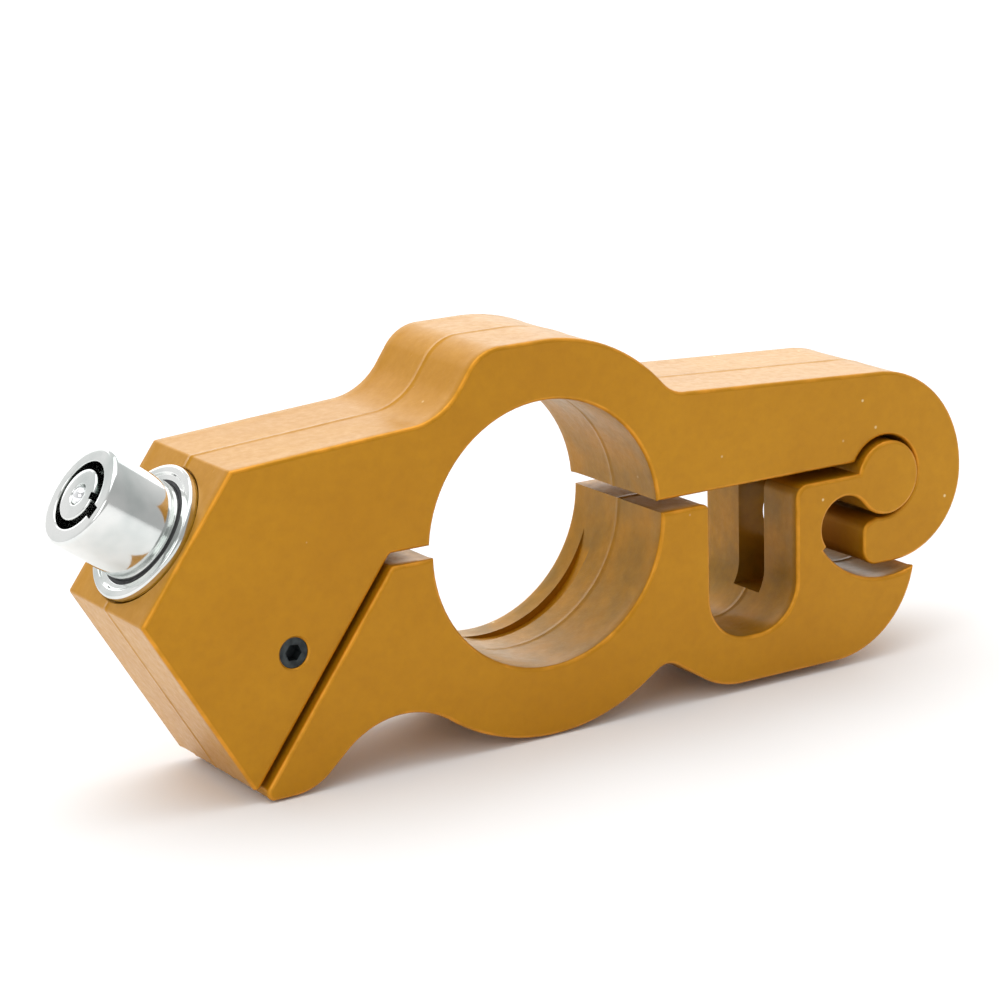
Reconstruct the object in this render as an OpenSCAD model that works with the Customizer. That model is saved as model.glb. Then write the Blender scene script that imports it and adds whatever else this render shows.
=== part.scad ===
// Grip and brake lever lock: two hinged jaws closed by a push-in tubular key lock.
// All sizes are millimetres.
// X runs along the jaws towards the hinge, Y runs along the grip, Z is up.
// The origin is the middle of the grip bore, halfway through the upper jaw.

/* [Grip] */
// Diameter of the grip that the jaws close round
grip_d = 35; // [30:0.5:42]
// Thickness of both jaws along the grip
jaw_t = 21; // [18:0.5:28]
// Wall over the top of the grip
top_wall = 7.9; // [5:0.1:12]
// Wall under the grip
under_wall = 9.4; // [6:0.1:12]
// Width of the curved groove in the lower bore
groove_w = 2.6; // [1:0.1:4]
// Depth of that groove at its deepest
groove_h = 1; // [0.3:0.1:1.5]
// Gap between the closed jaws on both sides of the grip
split_gap = 1.4; // [0.6:0.1:2.5]
// Distance the lower jaw stands forward on its loose hinge
side_play = 1; // [0:0.1:1.5]

/* [Lock block] */
// Lean of the lock's end face from upright, in degrees
lock_tilt = 36.5; // [30:0.5:42]
// Distance from the bore wall to the middle of the end face, along X
lock_reach = 33.85; // [31:0.05:42]
// Height of the middle of the end face
lock_rise = 6.55; // [4:0.05:9]
// Length of the end face above the lock's axis
end_up = 11; // [10:0.1:13]
// Length of the end face below the lock's axis
end_down = 10.55; // [10:0.05:13]
// Depth of the block from its end face to its slanted joint face
block_depth = 25.65; // [24:0.05:32]
// Gap between the slanted faces of the closed jaws
slant_gap = 0.6; // [0.3:0.1:1.5]

/* [Lever slot] */
// Wall between the grip bore and the lever slot
slot_wall = 7.6; // [5:0.1:12]
// Width of the lever slot
slot_w = 14.6; // [11:0.1:18]
// Depth of the lever slot below the top of the lower jaw
slot_depth = 19.5; // [15:0.1:24]
// Radius of the slot's lower corners
slot_corner_r = 6.5; // [2:0.1:7]
// Thickness under the slot
slot_floor = 6.5; // [4:0.1:9]
// Width of the channel in the slot's far wall, along Y
channel_w = 5.8; // [3:0.1:8]
// Height of the channel
channel_h = 16.5; // [8:0.1:17]

/* [Hinge] */
// Distance from the slot's far wall to the hinge centre
hinge_reach = 15.9; // [14:0.1:19]
// Depth of the hinge centre below the top of the lower jaw
hinge_drop = 1.3; // [0.5:0.1:2]
// Radius of the lower jaw's knuckle
knuckle_r = 5.2; // [4:0.1:6]
// Clearance round the knuckle
hinge_gap = 0.6; // [0.2:0.05:0.6]
// Outer radius of the hook's lower side
hook_r = 11.8; // [11:0.1:13]
// Clearance between the hook and the groove it swings in
groove_gap = 1.7; // [1:0.1:2.5]
// Diameter of the pin that keeps the knuckle in the hook
keeper_d = 3; // [2:0.1:4]

/* [Lock] */
// Diameter of the sliding barrel
barrel_d = 13.3; // [11.5:0.1:14]
// Distance the barrel stands out when the lock is open
barrel_out = 10.7; // [9.5:0.1:13]
// Travel of the barrel when it is pushed in
barrel_travel = 8.5; // [6:0.1:9]
// Diameter of the sleeve's flange
flange_d = 18.3; // [17.8:0.1:20]
// Height of the flange above the end face
flange_out = 1; // [0.5:0.1:1.5]
// Diameter of the locking bolt
bolt_d = 7; // [5:0.1:7.5]
// Length of the core's turn between its two stops, in degrees
core_swing = 60; // [60:1:60]

/* [Keyway] */
// Outside diameter of the ring-shaped keyway
keyway_d = 9.1; // [8.6:0.1:9.4]
// Width of the keyway ring
keyway_w = 1.1; // [0.9:0.05:1.2]
// Number of pins in the core
pin_count = 7; // [4:1:8]
// Diameter of each pin
pin_d = 1; // [0.8:0.05:1]

/* [Grub screw] */
// Thread diameter of the screw that holds the lock in
grub_d = 4; // [3:0.5:5]
// Size of its hexagon socket across flats
grub_hex = 2; // [1.5:0.1:2.5]

/* [Hidden] */
$fn = 96;

// Fits
press = 0.02;
running = 0.05;
loose = 0.1;
// Amount by which corner arcs run past their straight sides
blend = 0.01;

// Colours
gold = [0.72, 0.5, 0.14];
chrome = [0.85, 0.85, 0.84];
steel = [0.55, 0.56, 0.57];
black = [0.08, 0.08, 0.09];
brass = [0.78, 0.62, 0.3];

// Grip and arches
bore_r = grip_d / 2;
arch_r = bore_r + top_wall;
under_r = bore_r + under_wall;
// Angle round the bore where the upper arch runs out above the arm
arch_end = 44;
// Angles either side of straight down where the lower arch runs out
under_left = 35.5;
under_right = 32;

// Curved groove in the lower bore, as a disc cutter leaves it
bore_groove_r = bore_r - 2.1 * groove_h;
bore_groove_mid = polar(3.1 * groove_h, 300);
bore_groove_y = 4.7;

// Lever slot, hinge and hook
slot_left = bore_r + slot_wall;
slot_right = slot_left + slot_w;
block_low = slot_depth + slot_floor;
hinge = [slot_right + hinge_reach, -hinge_drop];
socket_r = knuckle_r + hinge_gap;
hook_mid = hinge + [1.9, -0.6];
hook_right = hook_mid[0] + hook_r;
hook_low = hook_mid[1] - hook_r;
groove_r = -(hook_low - hinge[1]) + groove_gap;
// Left end of the hook and the rounding of its two corners
hook_end = hinge[0] - 3.6;
hook_end_r = 2.4;
hook_lip_r = 1.8;
// Round end of the groove in the lower jaw
groove_turn = 217;
groove_end_r = 4.1;
groove_end = hinge + 9.3 * [cos(groove_turn), sin(groove_turn)];
lip_x = hinge[0] + 4.8;
lip_r = 13.9;

// Arm of the upper jaw, which falls slightly towards the hook
arm_top = [bore_r + 6.5, 15.35];
arm_fall = 3.4;

// Step from the lock block up to the arch
step_foot = [-bore_r + 2.55, bore_r - 0.2];
step_head = [-bore_r + 8.2, arch_r];
step_r = 5;
step_foot_r = 8.9;
step_head_r = 5.9;

// Lock axis: lock_out points out of the end face, lock_up points up along it
lock_out = [-cos(lock_tilt), sin(lock_tilt)];
lock_up = [sin(lock_tilt), cos(lock_tilt)];
end_mid = [-(bore_r + lock_reach), lock_rise];
end_top = end_mid + end_up * lock_up;
end_low = end_mid - end_down * lock_up;
gap_mid = end_mid - block_depth * lock_out;
tongue_mid = gap_mid - slant_gap * lock_out;
// Lean of the block's lower left side
block_lean = 59.3;
block_edge_r = 0.6;

// Lower jaw's tongue and the hollow under it
tongue_drop = 26.95;
toe_run = 7.9;
toe_rise = 0.1;
toe_lean = 41.7;
toe_r = 8;
tip_r = 1.1;
hollow_r = 12.05;
valley_r = 2.7;
valley_lean = 32.5;
corner_r = 11.7;

// Lock sleeve and the bore it sits in
sleeve_d = 16.4;
sleeve_bore_depth = block_depth - 3.05;
sleeve_len = sleeve_bore_depth - 0.1;
flange_sunk = 0.8;
flange_lip = 1.15;
flange_dish = 0.4;
seal_d = 14.2;
seal_h = 0.9;
collar_d = barrel_d + 1;
collar_top = 4.5;
barrel_back = 8.6;
rib_w = 1.6;
rib_h = 0.6;
window_w = 5.3;
window_gap = 0.2;

// Inside the barrel
core_d = 10.1;
core_room_d = core_d + 2 * running;
key_depth = 6.1;
core_top = barrel_out - key_depth;
core_h = 2.95;
post_d = keyway_d - 2 * keyway_w;
post_up = 0.2;
spindle_d = 4;
body_top = core_top - core_h - 0.1;
body_back = 4.5;
pin_circle_r = (keyway_d - keyway_w) / 2;
pin_hole_d = pin_d + 0.2;
driver_len = 2;
body_floor = 0.7;
spring_wire = 0.2;
ball_d = 2.4;
dimple_d = 2.9;
dimple_h = 0.8;
notch_w = 1.7;
notch_r = 5.7;
notch_turn = 257;
post_notch_w = 0.9;
post_notch_turn = 279;

// Latch plate, moved by the off-centre pin on the core's spindle
latch_t = 1.8;
latch_top = 4.8;
latch_w = 5;
latch_throw = 1;
crank_r = latch_throw / (2 * sin(core_swing / 2));
crank_d = 1.6;
latch_tail = 3;
latch_tip_r = collar_d / 2 - 0.1;

// Bolt and its pocket
bolt_head_h = 1.9;
bolt_sunk = 0.45;
bolt_tip = 0.6;
pocket_r = bolt_d / 2 + 0.3;
pocket_depth = 8.5;

// Return spring round the bolt
coil_wire = 1;
coil_turns = 5;
coil_r = 5.7;

// Grub screw
grub_depth = 20.4;
grub_down = 4;
grub_sunk = 0.35;
grub_len = jaw_t / 2 - grub_sunk - sleeve_d / 2 + 0.2;
grub_dog_d = 2.4;
grub_dog_len = 2.05;
grub_hex_depth = 1.6;

// Keeper pin and the slot it rides in
keeper_in = 3.8;
keeper_sunk = 0.6;
keeper_slot_r = keeper_in - 0.25;
keeper_slot_w = keeper_d + 2 * side_play + 0.3;

// Corner helpers. p is the corner, a and b are its neighbours, r is the rounding.
function unit(v) = v / norm(v);
function half_angle(a, p, b) = acos(unit(a - p) * unit(b - p)) / 2;
function cut_back(a, p, b, r) = r / tan(half_angle(a, p, b));
function round_mid(a, p, b, r) =
  p + unit(unit(a - p) + unit(b - p)) * r / sin(half_angle(a, p, b));
function towards(p, q, t) = p + unit(q - p) * t;
function meet(p, d, q, e) = p + d * cross(q - p, e) / cross(d, e);
function polar(r, turn) = r * [cos(turn), sin(turn)];

// Closed outline, anticlockwise, whose corners [x, z, r] are rounded to true arcs
module rounded(corners) {
  count = len(corners);
  at = [for (c = corners) [c[0], c[1]]];
  before = [for (i = [0 : count - 1]) at[(i + count - 1) % count]];
  after = [for (i = [0 : count - 1]) at[(i + 1) % count]];
  r = [for (c = corners) c[2]];
  outward = [for (i = [0 : count - 1]) cross(at[i] - before[i], after[i] - at[i]) > 0];
  back = [for (i = [0 : count - 1]) cut_back(before[i], at[i], after[i], r[i])];
  difference() {
    union() {
      polygon([for (i = [0 : count - 1]) each r[i] == 0 ? [at[i]] : [
        towards(at[i], before[i], back[i]),
        towards(at[i], after[i], back[i])
      ]]);
      for (i = [0 : count - 1])
        if (r[i] > 0 && outward[i])
          intersection() {
            translate(round_mid(before[i], at[i], after[i], r[i]))
              circle(r = r[i] + blend);
            polygon([
              towards(at[i], before[i], back[i]),
              at[i],
              towards(at[i], after[i], back[i]),
              towards(at[i], round_mid(before[i], at[i], after[i], r[i]), 1.1 * back[i])
            ]);
          }
    }
    for (i = [0 : count - 1])
      if (r[i] > 0 && !outward[i])
        translate(round_mid(before[i], at[i], after[i], r[i]))
          circle(r = r[i] + blend);
  }
}

// Stands a drawing made in X and Z upright, with its thickness centred on Y
module upright(thickness) {
  rotate([90, 0, 0])
    linear_extrude(height = thickness, center = true)
      children();
}

// Places children on the lock's axis: Z out of the end face, X up along it
module on_lock() {
  translate([end_mid[0], 0, end_mid[1]])
    rotate([0, lock_tilt - 90, 0])
      children();
}

// Cylinder on the lock's axis between two heights
module rod(d, low, high) {
  translate([0, 0, low])
    cylinder(d = d, h = high - low);
}

// Coil spring standing on Z = 0, made of tilted half rings that meet end to end
module coil(mean_r, wire_d, length, turns) {
  rise = (length - wire_d) / (2 * turns);
  tilt = atan(rise / (2 * mean_r));
  for (k = [0 : 2 * turns - 1])
    translate([0, 0, wire_d / 2 + rise * (k + 0.5)])
      rotate([0, (k % 2 == 0 ? 1 : -1) * tilt, 0])
        rotate([0, 0, 180 * (k % 2)])
          rotate_extrude(angle = 180)
            translate([mean_r / cos(tilt), 0])
              circle(d = wire_d);
}

module upper_outline() {
  gap_top = gap_mid + lock_up * (split_gap - gap_mid[1]) / lock_up[1];
  tip = meet(end_low, [cos(block_lean), -sin(block_lean)], gap_mid, lock_up);
  arm_run = [cos(arm_fall), -sin(arm_fall)];
  arch_foot = meet(polar(arch_r, arch_end), [sin(arch_end), -cos(arch_end)], arm_top, arm_run);
  arch_head = [arch_r * tan((90 - arch_end) / 2), arch_r];
  hook_top = meet(arm_top, arm_run, [hook_right, 0], [0, 1]);
  hook_top_r = (hook_top[1] - hook_mid[1] - 0.2) * tan(45 + arm_fall / 2);
  difference() {
    rounded([
      [gap_top[0], gap_top[1], 0.8],
      [hinge[0], split_gap, 0],
      [hinge[0], hinge[1] - knuckle_r, 0],
      [hook_end, hinge[1] - socket_r - 0.7, hook_lip_r],
      [hook_end, hook_low, hook_end_r],
      [hook_right, hook_low, hook_r - 0.05],
      [hook_top[0], hook_top[1], hook_top_r],
      [arch_foot[0], arch_foot[1], step_r],
      [arch_head[0], arch_head[1], arch_r],
      [step_head[0], step_head[1], step_head_r],
      [step_foot[0], step_foot[1], step_foot_r],
      [end_top[0], end_top[1], block_edge_r],
      [end_low[0], end_low[1], block_edge_r],
      [tip[0], tip[1], block_edge_r]
    ]);
    circle(r = bore_r);
    translate(hinge)
      circle(r = socket_r);
  }
}

module upper_jaw() {
  color(gold)
    difference() {
      upright(jaw_t)
        upper_outline();
      on_lock() {
        rod(sleeve_d + 2 * press, -sleeve_bore_depth, 1);
        rod(flange_d + 2 * loose, -flange_sunk, 1);
        rod(bolt_d + 2 * loose, -block_depth - 1, 0);
        translate([-grub_down, 0, -grub_depth])
          rotate([90, 0, 0])
            cylinder(d = grub_d, h = jaw_t);
      }
      translate([hinge[0], 0, hinge[1]])
        rotate([0, 90, 0])
          cylinder(d = keeper_d, h = hook_r + 2);
    }
}

module lower_outline() {
  tongue_top = tongue_mid - lock_up * tongue_mid[1] / lock_up[1];
  toe = tongue_mid - lock_up * (tongue_drop + tongue_mid[1]) / lock_up[1];
  toe_end = toe + [toe_run, toe_rise];
  left_run = [cos(under_left), -sin(under_left)];
  right_run = [cos(under_right), sin(under_right)];
  arch_left = polar(under_r, 270 - under_left);
  arch_right = polar(under_r, 270 + under_right);
  hollow = meet(toe_end, [cos(toe_lean), sin(toe_lean)], arch_left, left_run);
  arch_low = meet(arch_left, left_run, arch_right, right_run);
  foot = [slot_left + 1.85, -block_low];
  valley = meet(arch_right, right_run, foot, [-cos(valley_lean), sin(valley_lean)]);
  difference() {
    rounded([
      [toe[0], toe[1], tip_r],
      [toe_end[0], toe_end[1], toe_r],
      [hollow[0], hollow[1], hollow_r],
      [arch_low[0], arch_low[1], under_r],
      [valley[0], valley[1], valley_r],
      [foot[0], foot[1], corner_r],
      [lip_x, -block_low, lip_r],
      [lip_x, 0, 0],
      [slot_right, 0, 2],
      [slot_right, -slot_depth, slot_corner_r],
      [slot_left, -slot_depth, slot_corner_r],
      [slot_left, 0, 1],
      [tongue_top[0], tongue_top[1], 0.8]
    ]);
    circle(r = bore_r);
    hinge_groove();
  }
  translate(hinge)
    circle(r = knuckle_r);
}

// Space in the lower jaw that the hook swings through
module hinge_groove() {
  wedge = 2 * groove_r;
  difference() {
    translate(hinge)
      circle(r = groove_r);
    polygon([hinge, hinge + polar(wedge, groove_turn), hinge + polar(wedge, 150)]);
  }
  translate(groove_end)
    circle(r = groove_end_r);
}

module lower_jaw() {
  color(gold)
    difference() {
      translate([0, -side_play, 0])
        upright(jaw_t)
          lower_outline();
      translate([0, bore_groove_y, 0])
        upright(groove_w)
          translate(bore_groove_mid)
            circle(r = bore_groove_r);
      bolt_pocket();
      keeper_slot();
      channel();
    }
}

// Pocket for the bolt, long enough along Y for the hinge's side play
module bolt_pocket() {
  low = -(block_depth + slant_gap + pocket_depth);
  high = -block_depth;
  on_lock() {
    rod(2 * pocket_r, low, high);
    translate([0, -2 * side_play, 0])
      rod(2 * pocket_r, low, high);
    translate([-pocket_r, -2 * side_play, low])
      cube([2 * pocket_r, 2 * side_play, high - low]);
  }
}

// Slot half way round the knuckle for the keeper pin
module keeper_slot() {
  translate([0, -side_play, 0])
    upright(keeper_slot_w)
      translate(hinge)
        intersection() {
          difference() {
            circle(r = knuckle_r + 1);
            circle(r = keeper_slot_r);
          }
          translate([0.5, -2 * knuckle_r])
            square([2 * knuckle_r, 4 * knuckle_r]);
        }
}

// Channel down the slot's far wall, which just breaks into the groove
module channel() {
  translate([slot_right - 1, -side_play - channel_w / 2, -channel_h])
    cube([groove_end[0] - groove_end_r + 1.2 - slot_right + 1, channel_w, channel_h + 1]);
}

module keeper_pin() {
  color(steel)
    translate([hinge[0] + keeper_in, 0, hinge[1]])
      rotate([0, 90, 0])
        cylinder(d = keeper_d, h = hook_right - hinge[0] - keeper_in - keeper_sunk);
}

module grub_screw() {
  color(black)
    on_lock()
      translate([-grub_down, -jaw_t / 2 + grub_sunk, -grub_depth])
        rotate([-90, 0, 0])
          difference() {
            union() {
              cylinder(d = grub_d - 2 * running, h = grub_len);
              cylinder(d = grub_dog_d, h = grub_len + grub_dog_len);
            }
            translate([0, 0, -1])
              cylinder(d = grub_hex / cos(30), h = 1 + grub_hex_depth, $fn = 6);
          }
}

module lock_sleeve() {
  color(chrome)
    on_lock()
      difference() {
        union() {
          rod(sleeve_d, -sleeve_len, flange_out - flange_dish);
          rod(flange_d, -flange_sunk, flange_out);
        }
        rod(barrel_d + 2 * running, -sleeve_len - 1, flange_out + 1);
        rod(flange_d - 2 * flange_lip, flange_out - flange_dish, flange_out + 1);
        rod(seal_d, flange_out - flange_dish - seal_h, flange_out + 1);
        difference() {
          rod(collar_d + 2 * running, -sleeve_len - 1, -collar_top + running);
          translate([collar_d / 2 - rib_h, -rib_w / 2, -sleeve_len - 2])
            cube([2, rib_w, sleeve_len + 2]);
        }
        for (stop = [0, barrel_travel])
          translate([-sleeve_d, -window_w / 2, -latch_top - latch_t - window_gap - stop])
            cube([sleeve_d, window_w, latch_t + 2 * window_gap]);
        translate([-grub_down, 0, -grub_depth])
          rotate([90, 0, 0])
            cylinder(d = grub_dog_d + 2 * loose, h = jaw_t);
      }
}

module wiper_ring() {
  color(black)
    on_lock()
      difference() {
        rod(seal_d - 2 * press, flange_out - flange_dish - seal_h + press, flange_out - flange_dish);
        rod(barrel_d + 2 * running, -2, flange_out + 1);
      }
}

module lock_barrel() {
  color(chrome)
    on_lock()
      difference() {
        union() {
          rod(barrel_d, -barrel_back, barrel_out);
          rod(collar_d, -barrel_back, -collar_top);
        }
        rod(keyway_d, -1, barrel_out + 1);
        rod(core_room_d, -barrel_back - 1, core_top);
        rotate([0, 0, notch_turn])
          translate([0, -notch_w / 2, core_top - 1])
            cube([notch_r, notch_w, key_depth + 2]);
        translate([-collar_d, -latch_w / 2 - running, -latch_top - latch_t - running])
          cube([collar_d, latch_w + 2 * running, latch_t + 2 * running]);
        translate([collar_d / 2 - rib_h - loose, -rib_w / 2 - loose, -barrel_back - 1])
          cube([2, rib_w + 2 * loose, barrel_back - collar_top + 1.5]);
        body_pin_hole(0);
      }
}

// Hole along Y for the pin that stops the pin body turning in the barrel
module body_pin_hole(gap) {
  translate([0, 0, -1.6])
    rotate([-90, 0, 0])
      cylinder(d = 1.4 + 2 * gap, h = barrel_d);
}

module body_pin() {
  color(steel)
    on_lock()
      translate([0, core_d / 2 - 0.9, -1.6])
        rotate([-90, 0, 0])
          cylinder(d = 1.4, h = barrel_d / 2 - core_d / 2 + 0.8);
}

module lock_bolt() {
  shank_end = -(block_depth - bolt_sunk);
  color(steel)
    on_lock() {
      rod(core_room_d, -barrel_back, -barrel_back + bolt_head_h);
      rod(bolt_d, shank_end + bolt_tip, -barrel_back + 1);
      translate([0, 0, shank_end])
        cylinder(d1 = bolt_d - 2 * bolt_tip, d2 = bolt_d, h = bolt_tip);
    }
}

module pin_body() {
  color(brass)
    on_lock()
      difference() {
        rod(core_room_d - 2 * press, -body_back, body_top);
        rod(spindle_d + 2 * running, -body_back - 1, body_top + 1);
        pin_ring()
          rod(pin_hole_d, -body_back + body_floor, body_top + 1);
        body_pin_hole(0);
      }
}

// Copies children once for each pin, evenly round the core
module pin_ring() {
  for (k = [0 : pin_count - 1])
    rotate([0, 0, notch_turn + (k + 0.5) * 360 / pin_count])
      translate([pin_circle_r, 0, 0])
        children();
}

module driver_pins() {
  color(brass)
    on_lock()
      pin_ring()
        rod(pin_d, body_top - driver_len, body_top);
}

module pin_springs() {
  low = -body_back + body_floor;
  color(steel)
    on_lock()
      pin_ring()
        translate([0, 0, low])
          coil((pin_d - spring_wire) / 2 - 0.02, spring_wire, body_top - driver_len - low, 3);
}

module key_pins() {
  color(steel)
    on_lock()
      pin_ring()
        rod(pin_d, core_top - core_h, core_top + 0.2);
}

module core() {
  color(chrome)
    on_lock()
      difference() {
        union() {
          rod(core_d, core_top - core_h, core_top);
          rod(post_d, core_top - 1, barrel_out + post_up);
          rod(spindle_d, -latch_top + running, core_top);
          rotate([0, 0, 90 - core_swing / 2])
            translate([crank_r, 0, 0])
              rod(crank_d, -latch_top - latch_t + running, 0);
        }
        pin_ring()
          rod(pin_hole_d, core_top - core_h - 1, core_top + 1);
        rod(dimple_d, barrel_out + post_up - dimple_h, barrel_out + 1);
        rod(ball_d, barrel_out + post_up - dimple_h - ball_d / 2, barrel_out + 1);
        rotate([0, 0, post_notch_turn])
          translate([post_d / 2 - 0.5, -post_notch_w / 2, core_top + 0.3])
            cube([2, post_notch_w, key_depth + 1]);
      }
}

module drill_ball() {
  color(steel)
    on_lock()
      translate([0, 0, barrel_out + post_up - dimple_h])
        sphere(d = ball_d - 2 * press);
}

module latch_plate() {
  rest = crank_r * cos(90 - core_swing / 2);
  side = crank_r * sin(90 - core_swing / 2);
  color(steel)
    on_lock()
      translate([0, 0, -latch_top - latch_t])
        difference() {
          intersection() {
            translate([-latch_tip_r, -latch_w / 2, 0])
              cube([latch_tip_r + latch_tail, latch_w, latch_t]);
            cylinder(r = latch_tip_r, h = latch_t);
          }
          translate([rest, side, -1])
            cylinder(d = crank_d + 2 * running, h = latch_t + 2);
          translate([rest - crank_d / 2 - running, 0, -1])
            cube([crank_d + 2 * running, side + 0.3, latch_t + 2]);
          translate([rest, 0, -1])
            cylinder(d = crank_d + 2 * running, h = latch_t + 2);
          translate([rest, side + 0.3, -1])
            cylinder(d = crank_d + 2 * running, h = latch_t + 2);
        }
}

module return_spring() {
  color(steel)
    on_lock()
      translate([0, 0, -sleeve_bore_depth])
        coil(coil_r, coil_wire, sleeve_bore_depth - barrel_back, coil_turns);
}

upper_jaw();
lower_jaw();
keeper_pin();
grub_screw();
lock_sleeve();
wiper_ring();
lock_barrel();
lock_bolt();
pin_body();
body_pin();
driver_pins();
pin_springs();
core();
drill_ball();
key_pins();
latch_plate();
return_spring();
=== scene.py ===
import math

import bmesh
import bpy
from mathutils import Matrix, Vector, noise


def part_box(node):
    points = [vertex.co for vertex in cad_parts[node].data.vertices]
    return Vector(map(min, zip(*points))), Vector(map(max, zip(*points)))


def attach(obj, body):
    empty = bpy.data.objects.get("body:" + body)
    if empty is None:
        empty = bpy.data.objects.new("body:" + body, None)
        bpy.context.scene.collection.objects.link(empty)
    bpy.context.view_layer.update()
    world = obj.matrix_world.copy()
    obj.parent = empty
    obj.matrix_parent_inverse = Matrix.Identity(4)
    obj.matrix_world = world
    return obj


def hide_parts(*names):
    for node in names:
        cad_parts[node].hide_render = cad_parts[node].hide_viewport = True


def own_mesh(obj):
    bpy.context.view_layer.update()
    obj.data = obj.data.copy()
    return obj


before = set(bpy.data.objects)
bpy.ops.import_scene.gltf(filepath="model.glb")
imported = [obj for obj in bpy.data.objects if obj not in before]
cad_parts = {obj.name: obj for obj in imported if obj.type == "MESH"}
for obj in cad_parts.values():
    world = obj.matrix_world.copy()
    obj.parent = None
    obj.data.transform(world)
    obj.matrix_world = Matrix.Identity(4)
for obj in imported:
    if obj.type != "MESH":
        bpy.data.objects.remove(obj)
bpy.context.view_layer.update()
MM = 0.001
scene = bpy.context.scene
scene.view_settings.view_transform = "Standard"

# ---------------------------------------------------------------- camera
forward = Vector((0.5126, 0.8199, -0.2549)).normalized()
up = Vector((0.160, 0.201, 0.967))
right = forward.cross(up).normalized()
up = right.cross(forward).normalized()
camera_data = bpy.data.cameras.new("camera")
camera_data.lens = 108.94
camera_data.sensor_width = 36.0
camera_data.clip_start = 0.01
camera_data.clip_end = 20.0
camera = bpy.data.objects.new("camera", camera_data)
turn = Matrix((right, up, -forward)).transposed().to_4x4()
camera.matrix_world = Matrix.Translation(Vector((-203.56, -325.02, 103.37)) * MM) @ turn
scene.collection.objects.link(camera)
scene.camera = camera

# ---------------------------------------------------------------- sizes, in millimetres
BORE = 17.5
TILT = math.radians(36.5)
LOCK_OUT = Vector((-math.cos(TILT), 0, math.sin(TILT)))
LOCK_UP = Vector((math.sin(TILT), 0, math.cos(TILT)))
END = Vector((-(BORE + 33.85), 0, 6.55))
ON_LOCK = Matrix((
    (LOCK_UP.x, 0, LOCK_OUT.x, END.x),
    (0, 1, 0, 0),
    (LOCK_UP.z, 0, LOCK_OUT.z, END.z),
    (0, 0, 0, 1),
))
HINGE = Vector((BORE + 7.6 + 14.6 + 15.9, 0, -1.3))
BLOCK = 25.65
UPPER_FRONT, UPPER_BACK = -10.5, 10.5
LOWER_FRONT, LOWER_BACK = -11.5, 9.5
RIM = 0.5
SLEEVE_R = 8.2
SLEEVE_END = -22.5
FLANGE_R = 9.15
BARREL_R = 6.65
BARREL_OUT = 10.7
BOLT_R = 3.8
BOLT_DROP = 2.0
TRAVEL = 8.5
GRUB_DOWN, GRUB_DEEP = 4.0, 20.4
KEY_TURN = math.radians(60)
KEY_NOTCH = math.radians(257)
PIN_COUNT, PIN_RING = 7, 4.0
BORE_GROOVE_AT, BORE_GROOVE_R = (1.55, -2.685), 15.4
BORE_GROOVE_FRONT, BORE_GROOVE_BACK = 3.4, 6.0
SPRING_LOW, SPRING_HIGH = -22.6, -8.6


# ---------------------------------------------------------------- materials
class Nodes:
    """A short way to write a material's node tree."""

    def __init__(self, name):
        self.material = bpy.data.materials.new(name)
        self.material.use_nodes = True
        self.tree = self.material.node_tree
        self.shader = self.tree.nodes["Principled BSDF"]
        self.place = self.tree.nodes.new("ShaderNodeTexCoord").outputs["Object"]

    def node(self, kind, inputs=None, **settings):
        n = self.tree.nodes.new(kind)
        for key, value in settings.items():
            setattr(n, key, value)
        for key, value in (inputs or {}).items():
            if isinstance(value, bpy.types.NodeSocket):
                self.tree.links.new(value, n.inputs[key])
            else:
                n.inputs[key].default_value = value
        return n

    def noise(self, scale, detail=4.0, rough=0.55, place=None):
        n = self.node("ShaderNodeTexNoise", {
            "Vector": place or self.place, "Scale": scale, "Detail": detail, "Roughness": rough})
        return n.outputs["Fac"]

    def spots(self, scale, size, place=None):
        cells = self.node("ShaderNodeTexVoronoi", {"Vector": place or self.place, "Scale": scale})
        return self.ramp(cells.outputs["Distance"], size, size * 0.5)

    def ramp(self, value, low, high, to_low=0.0, to_high=1.0):
        n = self.node("ShaderNodeMapRange", {
            "Value": value, "From Min": low, "From Max": high, "To Min": to_low, "To Max": to_high})
        return n.outputs["Result"]

    def math(self, operation, a, b):
        return self.node("ShaderNodeMath", {0: a, 1: b}, operation=operation).outputs[0]

    def mix(self, factor, a, b, blend="MIX"):
        n = self.node("ShaderNodeMix", data_type="RGBA", blend_type=blend)
        for socket, value in ((0, factor), (6, a), (7, b)):
            if isinstance(value, bpy.types.NodeSocket):
                self.tree.links.new(value, n.inputs[socket])
            else:
                n.inputs[socket].default_value = value
        return n.outputs[2]

    def attribute(self, name):
        return self.node("ShaderNodeAttribute", attribute_name=name).outputs["Fac"]

    def bump(self, height, distance, strength=1.0, normal=None):
        inputs = {"Height": height, "Distance": distance, "Strength": strength}
        if normal is not None:
            inputs["Normal"] = normal
        return self.node("ShaderNodeBump", inputs).outputs["Normal"]

    def set(self, **values):
        for key, value in values.items():
            socket = self.shader.inputs[key.replace("_", " ")]
            if isinstance(value, bpy.types.NodeSocket):
                self.tree.links.new(value, socket)
            else:
                socket.default_value = value


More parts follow.
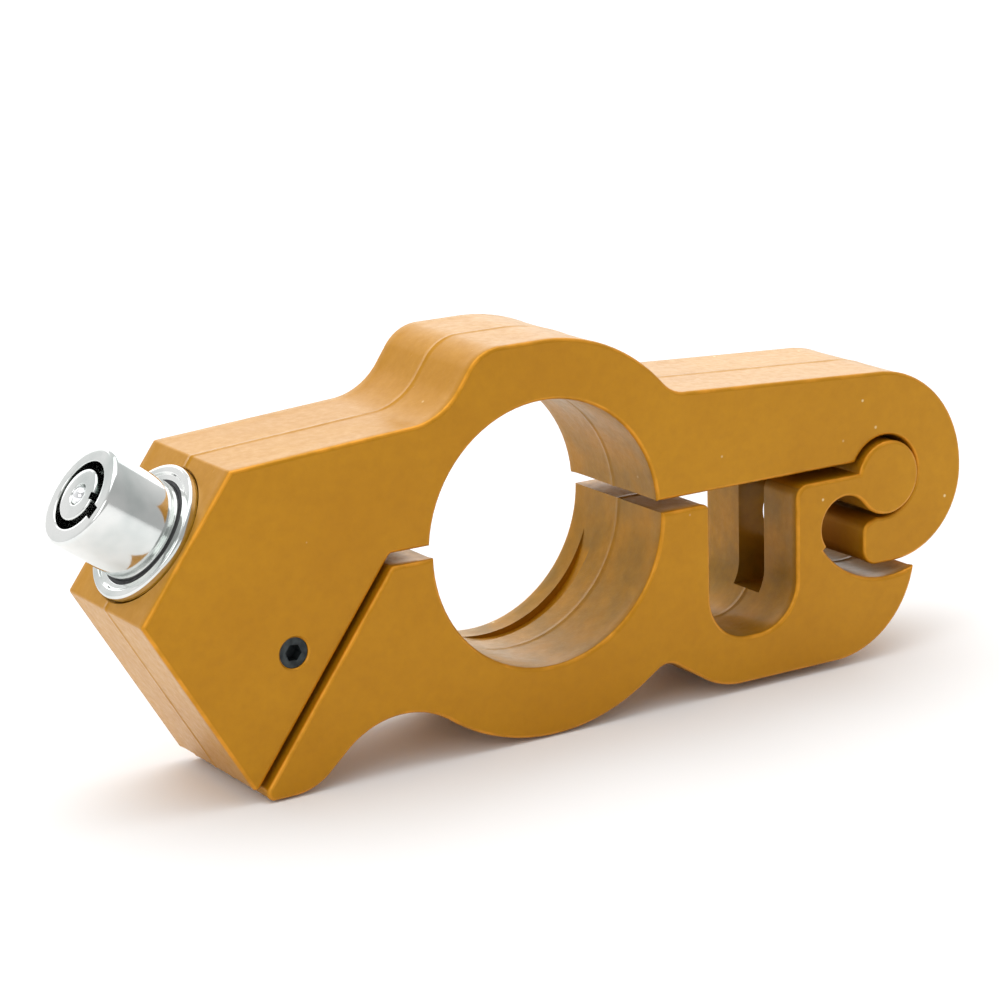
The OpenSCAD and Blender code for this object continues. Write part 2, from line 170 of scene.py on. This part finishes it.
def gold_paint():
    m = Nodes("gold_paint")
    broad = m.noise(45.0, 3.0)
    fine = m.noise(900.0, 5.0, 0.6)
    edge = m.attribute("edge")
    cast_and_shade = m.attribute("cast_and_shade")
    rim_wear_and_highlight = m.ramp(m.noise(260.0, 4.0), 0.42, 0.62)
    colour = m.mix(m.ramp(broad, 0.35, 0.65), (0.48, 0.208, 0.0035, 1), (0.52, 0.235, 0.005, 1))
    colour = m.mix(m.ramp(fine, 0.3, 0.7, 0.0, 0.25), colour, (0.40, 0.165, 0.004, 1))
    # Darker brown on the bore and recess walls: a painted shade, over their rough unfinished texture.
    colour = m.mix(m.math("MULTIPLY", cast_and_shade, m.ramp(m.noise(170.0, 5.0), 0.35, 0.7, 0.2, 0.8)),
                   colour, (0.23, 0.130, 0.022, 1))
    # Brighter orange on the rounded rims: partly paint wear, partly a painted highlight.
    colour = m.mix(m.math("MULTIPLY", edge, m.ramp(rim_wear_and_highlight, 0.0, 1.0, 0.25, 0.9)),
                   colour, (0.74, 0.31, 0.02, 1))
    specks = m.spots(380.0, 0.10)
    thin = m.ramp(m.noise(60.0, 2.0), 0.61, 0.65)
    colour = m.mix(m.math("MULTIPLY", specks, m.math("MULTIPLY", thin, 0.75)), colour, (0.85, 0.70, 0.38, 1))
    rough = m.ramp(fine, 0.3, 0.7, 0.36, 0.5)
    rough = m.math("ADD", rough, m.math("MULTIPLY", cast_and_shade, 0.08))
    peel = m.noise(520.0, 2.0, 0.4)
    height = m.math("ADD", peel, m.math("MULTIPLY", m.noise(1900.0, 3.0), 0.35))
    lumps = m.math("MULTIPLY", m.noise(330.0, 6.0, 0.65), 3.0)
    height = m.math("ADD", height, m.math("MULTIPLY", cast_and_shade, lumps))
    height = m.math("SUBTRACT", height, m.math("MULTIPLY", specks, 0.4))
    m.set(Base_Color=colour, Metallic=0.5, Roughness=rough, Specular_IOR_Level=0.15, Coat_Weight=0.55,
          Specular_Tint=(1.0, 0.95, 0.70, 1.0), Coat_Roughness=0.22, Coat_IOR=1.32,
          Normal=m.bump(height, 0.00006, 0.55))
    return m.material


def metal(name, dark, light, rough, brushed=0.0):
    m = Nodes(name)
    grain = m.noise(700.0, 4.0)
    smear = m.noise(120.0, 3.0)
    colour = m.mix(m.ramp(smear, 0.35, 0.65), dark, light)
    fine = m.ramp(grain, 0.3, 0.7, rough * 0.8, rough * 1.3)
    height = m.noise(2600.0, 2.0)
    m.set(Base_Color=colour, Metallic=1.0, Roughness=fine, Normal=m.bump(height, 0.000004 + brushed, 0.4))
    return m.material


def black_steel():
    m = Nodes("black_steel")
    colour = m.mix(m.ramp(m.noise(900.0, 4.0), 0.4, 0.65), (0.018, 0.022, 0.024, 1), (0.05, 0.06, 0.062, 1))
    m.set(Base_Color=colour, Metallic=0.7, Roughness=m.ramp(m.noise(1500.0), 0.3, 0.7, 0.3, 0.5),
          Normal=m.bump(m.noise(2200.0, 3.0), 0.00001, 0.5))
    return m.material


def seal_rubber():
    m = Nodes("seal_rubber")
    colour = m.mix(m.noise(800.0), (0.010, 0.010, 0.011, 1), (0.03, 0.03, 0.032, 1))
    m.set(Base_Color=colour, Roughness=m.ramp(m.noise(1200.0), 0.3, 0.7, 0.5, 0.7),
          Normal=m.bump(m.noise(2500.0, 3.0), 0.00001, 0.6))
    return m.material


FINISH = {
    "gold_paint": gold_paint(),
    "chrome": metal("chrome", (0.56, 0.60, 0.585, 1), (0.78, 0.79, 0.775, 1), 0.09),
    "steel": metal("steel", (0.48, 0.48, 0.48, 1), (0.60, 0.60, 0.59, 1), 0.28, 0.000004),
    "bright_steel": metal("bright_steel", (0.78, 0.79, 0.80, 1), (0.86, 0.87, 0.88, 1), 0.06),
    "brass": metal("brass", (0.62, 0.40, 0.13, 1), (0.74, 0.52, 0.20, 1), 0.25, 0.000003),
    "black_steel": black_steel(),
    "seal_rubber": seal_rubber(),
}
SLOTS = {
    "upper_jaw": "gold_paint", "lower_jaw": "gold_paint", "keeper_pin": "steel", "grub_screw": "black_steel",
    "lock_sleeve": "chrome", "wiper_ring": "seal_rubber", "lock_barrel": "chrome", "lock_bolt": "steel",
    "pin_body": "brass", "body_pin": "steel", "driver_pins": "brass", "pin_springs": "steel",
    "core": "chrome", "drill_ball": "steel", "key_pins": "steel", "latch_plate": "steel",
    "return_spring": "steel",
}
for name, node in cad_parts.items():
    node.data.materials.clear()
    node.data.materials.append(FINISH["bright_steel" if name == "drill_ball" else SLOTS[name]])
    for polygon in node.data.polygons:
        polygon.material_index = 0


# ---------------------------------------------------------------- mesh code
def to_mesh(name, verts, faces):
    mesh = bpy.data.meshes.new(name)
    mesh.from_pydata([tuple(Vector(v) * MM) for v in verts], [], faces)
    piece = bpy.data.objects.new(name, mesh)
    scene.collection.objects.link(piece)
    return piece


def closed(piece):
    """Joins doubled points and points every face outwards."""
    bm = bmesh.new()
    bm.from_mesh(piece.data)
    bmesh.ops.remove_doubles(bm, verts=bm.verts, dist=1e-7)
    bmesh.ops.recalc_face_normals(bm, faces=bm.faces)
    bm.to_mesh(piece.data)
    bm.free()
    return piece


def arc_corner(a, p, b, r, steps=4):
    """Points round the corner p between a and b, at radius r."""
    if r <= 0:
        return [p]
    u, v = (a - p).normalized(), (b - p).normalized()
    half = u.angle(v) / 2
    if half > math.radians(89):
        return [p]
    back = r / math.tan(half)
    back = min(back, 0.49 * (a - p).length, 0.49 * (b - p).length)
    r = back * math.tan(half)
    mid = p + (u + v).normalized() * (r / math.sin(half))
    start, end = p + u * back - mid, p + v * back - mid
    sweep = start.angle(end)
    out = []
    for k in range(steps + 1):
        t = k / steps
        s = math.sin(sweep)
        if s < 1e-6:
            out.append(mid + start.lerp(end, t))
        else:
            out.append(mid + start * (math.sin((1 - t) * sweep) / s) + end * (math.sin(t * sweep) / s))
    return out


def lathe(name, profile, place=ON_LOCK, turns=96, closed_ring=True):
    """Turns a profile of (radius, height, corner radius) about the Z axis of place."""
    count = len(profile)
    at = [Vector((p[0], p[1])) for p in profile]
    points = []
    for i in range(count):
        if not closed_ring and i in (0, count - 1):
            points.append(at[i])
            continue
        r = profile[i][2] if len(profile[i]) > 2 else 0
        points += arc_corner(at[i - 1], at[i], at[(i + 1) % count], r)
    verts, rings = [], []
    for p in points:
        if p.x < 1e-6:
            rings.append([len(verts)] * turns)
            verts.append(place @ Vector((0, 0, p.y)))
        else:
            rings.append(list(range(len(verts), len(verts) + turns)))
            for k in range(turns):
                a = 2 * math.pi * k / turns
                verts.append(place @ Vector((p.x * math.cos(a), p.x * math.sin(a), p.y)))
    faces = []
    last = len(rings) if closed_ring else len(rings) - 1
    for i in range(last):
        lower, upper = rings[i], rings[(i + 1) % len(rings)]
        for k in range(turns):
            n = (k + 1) % turns
            face = []
            for v in (lower[k], lower[n], upper[n], upper[k]):
                if v not in face:
                    face.append(v)
            if len(face) > 2:
                faces.append(face)
    return closed(to_mesh(name, verts, faces))


def block(name, low, high, place=ON_LOCK):
    """Box cutter between two corners in place's axes."""
    xs, ys, zs = zip(low, high)
    verts = [place @ Vector((x, y, z)) for x in xs for y in ys for z in zs]
    faces = [(0, 1, 3, 2), (4, 6, 7, 5), (0, 4, 5, 1), (2, 3, 7, 6), (0, 2, 6, 4), (1, 5, 7, 3)]
    return closed(to_mesh(name, verts, faces))


def rod(name, r, low, high, place=ON_LOCK, flare=None, turns=96):
    """Round cutter; flare = (width, height at the mouth) opens its upper end as a small bevel."""
    profile = [(0, low), (r, low)]
    if flare:
        profile += [(r, flare[1] - flare[0]), (r + flare[0] + (high - flare[1]), high)]
    else:
        profile += [(r, high)]
    profile += [(0, high)]
    return lathe(name, profile, place, turns, closed_ring=False)


def prism(name, outline, low, high):
    """Cutter with an (x, z) outline in millimetres, between two heights along Y."""
    count = len(outline)
    verts = [(x, y, z) for y in (low, high) for x, z in outline]
    faces = [tuple(range(count)), tuple(range(count, 2 * count))]
    faces += [(i, (i + 1) % count, count + (i + 1) % count, count + i) for i in range(count)]
    return closed(to_mesh(name, verts, faces))


def cut(piece, *cutters, operation="DIFFERENCE"):
    for cutter in cutters:
        modifier = piece.modifiers.new("cut", "BOOLEAN")
        modifier.operation = operation
        modifier.solver = "EXACT"
        modifier.object = cutter
    bpy.context.view_layer.update()
    mesh = bpy.data.meshes.new_from_object(piece.evaluated_get(bpy.context.evaluated_depsgraph_get()))
    piece.modifiers.clear()
    old, piece.data = piece.data, mesh
    name = old.name
    bpy.data.meshes.remove(old)
    mesh.name = name
    for cutter in cutters:
        data = cutter.data
        bpy.data.objects.remove(cutter)
        bpy.data.meshes.remove(data)
    return piece


def finish(piece, body, slot, *nodes, sharp=32, flat_caps=()):
    """Smooth faces with sharp edges, the finish, and the body that the piece rides on."""
    mesh = piece.data
    bm = bmesh.new()
    bm.from_mesh(mesh)
    bm.faces.ensure_lookup_table()
    caps = set()
    for f in bm.faces:
        f.smooth = True
        f.material_index = 0
        if any(all(abs(v.co.y - y * MM) < 2e-6 for v in f.verts) for y in flat_caps):
            caps.add(f)
    for e in bm.edges:
        on_cap = sum(1 for f in e.link_faces if f in caps)
        wide = len(e.link_faces) == 2 and e.calc_face_angle(0) > math.radians(sharp)
        e.smooth = not (wide or on_cap == 1)
    bm.to_mesh(mesh)
    bm.free()
    mesh.materials.clear()
    mesh.materials.append(FINISH[slot])
    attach(piece, body)
    if nodes:
        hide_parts(*nodes)
    return piece


# ---------------------------------------------------------------- jaws
def cap_loop(node, y):
    """The outline of the node's flat face at y, as (x, z) points in millimetres, inside on the left."""
    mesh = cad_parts[node].data
    bm = bmesh.new()
    bm.from_mesh(mesh)
    bmesh.ops.remove_doubles(bm, verts=bm.verts, dist=2e-7)
    flat = {f for f in bm.faces if all(abs(v.co.y - y * MM) < 1e-6 for v in f.verts)}
    after = {}
    for f in flat:
        for l in f.loops:
            if not any(g in flat for g in l.edge.link_faces if g is not f):
                after.setdefault(l.vert.index, l.link_loop_next.vert.index)
    bm.verts.ensure_lookup_table()
    loops = []
    while after:
        loop, here = [], min(after)
        while here in after:
            loop.append(here)
            here = after.pop(here)
        loops.append([Vector((bm.verts[i].co.x / MM, bm.verts[i].co.z / MM)) for i in loop])
    bm.free()

    def area(loop):
        return sum(a.x * b.y - b.x * a.y for a, b in zip(loop, loop[1:] + loop[:1])) / 2

    loop = max(loops, key=lambda points: abs(area(points)))
    return loop if area(loop) > 0 else loop[::-1]


def spaced(loop, longest=1.4, shortest=0.06):
    """The same outline with points close enough together to carry an uneven surface."""
    kept = []
    for p in loop:
        if not kept or (p - kept[-1]).length > shortest:
            kept.append(p)
    if (kept[0] - kept[-1]).length < shortest:
        kept.pop()
    out = []
    for a, b in zip(kept, kept[1:] + kept[:1]):
        steps = max(1, math.ceil((b - a).length / longest))
        out += [a.lerp(b, k / steps) for k in range(steps)]
    return out


def slab(name, loop, front, back, edge_r):
    """A cast plate: rounded rims, slightly uneven sides and a raised line at the die's parting."""
    loop = spaced(loop)
    count = len(loop)
    normals = []
    for i in range(count):
        a, p, b = loop[i - 1], loop[i], loop[(i + 1) % count]
        n1 = Vector(((p - a).y, -(p - a).x)).normalized()
        n2 = Vector(((b - p).y, -(b - p).x)).normalized()
        n = n1 + n2
        n = n.normalized() if n.length > 1e-3 else n1
        normals.append(n / max(0.45, n.dot(n1)))
    middle = (front + back) / 2
    rows = []
    bend = 4
    for k in range(bend + 1):
        t = math.pi / 2 * k / bend
        rows.append((front + edge_r * (1 - math.cos(t)), edge_r * (1 - math.sin(t)), 0))
    inner = [front + edge_r + 1.0, front + edge_r + 3.0, front + edge_r + 5.5, middle - 2.4, middle - 0.8]
    inner += [middle - 0.32, middle - 0.12, middle + 0.12, middle + 0.32, middle + 0.8, middle + 2.4]
    inner += [back - edge_r - 5.5, back - edge_r - 3.0, back - edge_r - 1.0]
    for y in inner:
        rows.append((y, 0.0, 1))
    for k in range(bend, -1, -1):
        t = math.pi / 2 * k / bend
        rows.append((back - edge_r * (1 - math.cos(t)), edge_r * (1 - math.sin(t)), 0))
    verts = []
    for y, inset, side in rows:
        for p, n in zip(loop, normals):
            sink = 0.0
            if side:
                wave = noise.noise(Vector((p.x, y, p.y)) * 0.12)
                rough = noise.noise(Vector((p.x + 40, y * 1.5, p.y)) * 0.55)
                sink = 0.075 - 0.035 * wave - 0.022 * rough
                if abs(y - middle) < 0.2:
                    sink -= 0.075 + 0.03 * noise.noise(Vector((p.x, 7, p.y)) * 0.9)
                sink = max(0.0, sink)
            q = p - n * (inset + sink)
            verts.append((q.x, y, q.y))
    faces = []
    for r in range(len(rows) - 1):
        for i in range(count):
            j = (i + 1) % count
            faces.append((r * count + i, r * count + j, (r + 1) * count + j, (r + 1) * count + i))
    faces.append(tuple(range(count)))
    faces.append(tuple(range((len(rows) - 1) * count, len(rows) * count)))
    piece = to_mesh(name, verts, faces)
    bm = bmesh.new()
    bm.from_mesh(piece.data)
    bmesh.ops.triangulate(bm, faces=[f for f in bm.faces if len(f.verts) > 4])
    bmesh.ops.recalc_face_normals(bm, faces=bm.faces)
    bm.to_mesh(piece.data)
    bm.free()
    return piece


def paint_marks(piece, front, back, edge_r, cast_and_shade_test):
    """Point values for the paint: edge on the rounded rims, for paint wear and a painted highlight; the other
    mark on the rougher bore and recess walls, for their lumpy texture and a painted shade.
    """
    mesh = piece.data
    # Rim mark: paint wear and a painted highlight along the rounded rims.
    edge = mesh.attributes.new("edge", "FLOAT", "POINT")
    # Recess mark: rough lumpy texture and a painted shade on the bore and recess walls.
    cast_and_shade = mesh.attributes.new("cast_and_shade", "FLOAT", "POINT")
    edges, cast_and_shade_values = [], []
    for v in mesh.vertices:
        x, y, z = v.co / MM
        from_face = min(y - front, back - y)
        edges.append(1.0 if 0.03 < from_face < edge_r - 0.03 else 0.0)
        cast_and_shade_values.append(1.0 if from_face > edge_r - 0.03 and cast_and_shade_test(x, y, z) else 0.0)
    edge.data.foreach_set("value", edges)
    cast_and_shade.data.foreach_set("value", cast_and_shade_values)


def across(x, z, turned):
    """Axes at (x, z) whose Z runs along Y, towards the back for turned = 1 and the front for -1."""
    return Matrix(((1, 0, 0, x), (0, 0, turned, 0), (0, -turned, 0, z), (0, 0, 0, 1)))


upper = slab("upper_jaw_body", cap_loop("upper_jaw", UPPER_FRONT), UPPER_FRONT, UPPER_BACK, RIM)
grub_at = ON_LOCK @ Vector((-GRUB_DOWN, 0, -GRUB_DEEP))
along_x = Matrix(((0, 0, 1, HINGE.x), (0, 1, 0, 0), (-1, 0, 0, HINGE.z), (0, 0, 0, 1)))
cut(
    upper,
    rod("c1", SLEEVE_R + 0.02, SLEEVE_END - 0.1, 0.8),
    rod("c2", FLANGE_R + 0.1, -0.8, 1.4, flare=(0.25, 0.0)),
    rod("c3", BOLT_R - 0.2, -BLOCK - 1.2, -10),
    rod("c4", 2.0, -0.4, 10.9, across(grub_at.x, grub_at.z, -1), flare=(0.22, 10.5), turns=48),
    rod("c5", 1.5, 0, 15.5, along_x, flare=(0.2, 13.0), turns=48),
)


# Bore and recess walls of the upper jaw: rough texture with a painted shade.
def upper_cast_and_shade(x, y, z):
    return math.hypot(x, z) < BORE + 0.4 or (x > 20 and z < 2.6 and x < 50)


paint_marks(upper, UPPER_FRONT, UPPER_BACK, RIM, upper_cast_and_shade)
finish(upper, "upper_jaw", "gold_paint", "upper_jaw", flat_caps=(UPPER_FRONT, UPPER_BACK))

lower = slab("lower_jaw_body", cap_loop("lower_jaw", LOWER_FRONT), LOWER_FRONT, LOWER_BACK, RIM)
pocket_low, pocket_high = -(BLOCK + 0.6 + TRAVEL), -BLOCK + 0.5
arc = [math.radians(a) for a in range(-84, 85, 4)]
keeper_ring = [(HINGE.x + 6.2 * math.cos(a), HINGE.z + 6.2 * math.sin(a)) for a in arc]
keeper_ring += [(HINGE.x + 3.55 * math.cos(a), HINGE.z + 3.55 * math.sin(a)) for a in reversed(arc)]
shifted = ON_LOCK @ Matrix.Translation((0, -BOLT_DROP, 0))
cut(
    lower,
    rod("p1", BOLT_R, pocket_low, pocket_high),
    rod("p2", BOLT_R, pocket_low, pocket_high, shifted),
    block("p3", (-BOLT_R, -BOLT_DROP, pocket_low), (BOLT_R, 0.0, pocket_high)),
    block("p4", (38.7, -3.9, -16.5), (45.3, 1.9, 1.0), Matrix.Identity(4)),
    prism("p5", keeper_ring, -3.65, 1.65),
    rod("p6", BORE_GROOVE_R, BORE_GROOVE_FRONT, BORE_GROOVE_BACK, across(*BORE_GROOVE_AT, 1)),
)


# Bore and recess walls of the lower jaw: rough texture with a painted shade.
def lower_cast_and_shade(x, y, z):
    return math.hypot(x, z) < BORE + 0.4 or (24 < x < 60 and -20.4 < z < -0.5)


paint_marks(lower, LOWER_FRONT, LOWER_BACK, RIM, lower_cast_and_shade)
finish(lower, "lower_jaw", "gold_paint", "lower_jaw", flat_caps=(LOWER_FRONT, LOWER_BACK))

# ---------------------------------------------------------------- lock
sleeve = lathe("lock_sleeve_body", [
    (SLEEVE_R, SLEEVE_END, 0.3), (SLEEVE_R, -0.8, 0), (FLANGE_R, -0.8, 0.1), (FLANGE_R, 1.0, 0.4),
    (8.05, 1.0, 0.3), (7.75, 0.6, 0.2), (7.1, 0.6, 0.12), (7.1, -0.3, 0), (6.7, -0.3, 0), (6.7, -4.45, 0),
    (7.2, -4.45, 0), (7.2, SLEEVE_END, 0.2),
])
windows = [
    block("w", (-2 * SLEEVE_R, -2.65, -6.8 - stop), (0, 2.65, -4.6 - stop)) for stop in (0.0, TRAVEL)
]
dog = ON_LOCK @ Matrix(((1, 0, 0, -GRUB_DOWN), (0, 0, -1, 0), (0, 1, 0, -GRUB_DEEP), (0, 0, 0, 1)))
cut(sleeve, *windows, rod("w", 1.3, 0, 12, dog, turns=48))
finish(sleeve, "upper_jaw", "chrome", "lock_sleeve")

barrel = lathe("lock_barrel_body", [
    (5.1, -8.6, 0.1), (7.15, -8.6, 0.3), (7.15, -4.5, 0.2), (BARREL_R, -4.5, 0), (BARREL_R, BARREL_OUT, 0.55),
    (4.55, BARREL_OUT, 0.22), (4.55, 4.6, 0), (5.1, 4.6, 0),
], turns=128)
notch = ON_LOCK @ Matrix.Rotation(KEY_NOTCH, 4, "Z")
cut(
    barrel,
    block("b", (0, -0.85, 3.6), (5.7, 0.85, 11.7), notch),
    block("b", (-14.3, -2.55, -6.65), (0, 2.55, -4.75)),
    block("b", (6.45, -0.9, -9.6), (8.5, 0.9, -4.0)),
)
finish(barrel, "plunger", "chrome", "lock_barrel")

core = lathe("core_body", [
    (0, -4.75), (2.0, -4.75, 0.2), (2.0, 1.65, 0), (5.05, 1.65, 0.1), (5.05, 4.6, 0), (3.45, 4.6, 0),
    (3.45, 10.9, 0.3), (1.45, 10.9, 0.2), (1.2, 10.1, 0.1), (1.2, 8.9, 0), (0, 8.9),
], closed_ring=False)
post_notch = ON_LOCK @ Matrix.Rotation(math.radians(279), 4, "Z")
holes = []
for k in range(PIN_COUNT):
    a = KEY_NOTCH + (k + 0.5) * 2 * math.pi / PIN_COUNT
    at_pin = ON_LOCK @ Matrix.Translation((PIN_RING * math.cos(a), PIN_RING * math.sin(a), 0))
    holes.append(rod("h", 0.6, 0.6, 5.6, at_pin, turns=24))
cut(core, block("n", (2.95, -0.45, 4.9), (5.0, 0.45, 11.7), post_notch), *holes)
at_crank = ON_LOCK @ Matrix.Rotation(KEY_TURN, 4, "Z") @ Matrix.Translation((1.0, 0, 0))
cut(core, rod("crank", 0.8, -6.55, 0.5, at_crank, turns=32), operation="UNION")
finish(core, "core", "chrome", "core")


# ---------------------------------------------------------------- return spring
def helix(name, mean_r, wire_r, low, high, turns):
    """Coil with closed, nearly flat end turns."""
    steps, sides = int(turns * 40), 14
    verts, faces = [], []
    for i in range(steps + 1):
        t = i / steps
        ease = t - math.sin(2 * math.pi * t) * 0.085
        a = 2 * math.pi * turns * t
        height = low + wire_r + (high - low - 2 * wire_r) * ease
        mid = Vector((mean_r * math.cos(a), mean_r * math.sin(a), height))
        out = Vector((math.cos(a), math.sin(a), 0))
        for s in range(sides):
            b = 2 * math.pi * s / sides
            rise = Vector((0, 0, wire_r * math.sin(b)))
            verts.append(ON_LOCK @ (mid + out * (wire_r * math.cos(b)) + rise))
    for i in range(steps):
        for s in range(sides):
            n = (s + 1) % sides
            faces.append((i * sides + s, i * sides + n, (i + 1) * sides + n, (i + 1) * sides + s))
    faces.append(tuple(range(sides)))
    faces.append(tuple(range(steps * sides, (steps + 1) * sides)))
    return closed(to_mesh(name, verts, faces))


spring = helix("return_spring_coil", 5.7, 0.5, SPRING_LOW, SPRING_HIGH, 5)
finish(spring, "upper_jaw", "steel", "return_spring", sharp=50)
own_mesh(spring)

# ---------------------------------------------------------------- studio
floor_z = min(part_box(n)[0].z for n in ("upper_jaw", "lower_jaw")) - 0.0002
corners = ((-4000, -4000), (4000, -4000), (4000, 4000), (-4000, 4000))
floor = to_mesh("floor", [(x, y, floor_z / MM) for x, y in corners], [(0, 1, 2, 3)])
m = Nodes("floor_white")
m.set(Base_Color=m.mix(m.noise(6.0), (0.93, 0.93, 0.93, 1), (0.95, 0.95, 0.95, 1)), Roughness=0.9,
      Specular_IOR_Level=0.1)
floor.data.materials.append(m.material)

world = bpy.data.worlds.new("studio")
world.use_nodes = True
scene.world = world
tree = world.node_tree
sky = tree.nodes["Background"]
direction = tree.nodes.new("ShaderNodeTexCoord").outputs["Generated"]
split = tree.nodes.new("ShaderNodeSeparateXYZ")
tree.links.new(direction, split.inputs[0])
shade = tree.nodes.new("ShaderNodeMapRange")
tree.links.new(split.outputs["Y"], shade.inputs["Value"])
for key, value in (("From Min", -0.7), ("From Max", 0.7), ("To Min", 0.55), ("To Max", 0.95)):
    shade.inputs[key].default_value = value
tree.links.new(shade.outputs["Result"], sky.inputs["Strength"])
sky.inputs["Color"].default_value = (1, 1, 1, 1)


def softbox(name, place, target, size, energy, colour=(1, 1, 1)):
    data = bpy.data.lights.new(name, "AREA")
    data.shape = "RECTANGLE"
    data.size, data.size_y = size
    data.energy = energy
    data.color = colour
    lamp = bpy.data.objects.new(name, data)
    lamp.location = place
    lamp.rotation_euler = (Vector(target) - Vector(place)).to_track_quat("-Z", "Y").to_euler()
    scene.collection.objects.link(lamp)


softbox("top_box", (0.0, 0.1, 0.9), (0, 0, 0), (1.2, 0.9), 5.0)
softbox("back_box", (0.55, 1.3, 0.55), (0, 0, 0.1), (2.4, 1.0), 7.0)
softbox("left_box", (-0.9, -0.5, 0.5), (0, 0, 0), (0.6, 0.6), 2.0)
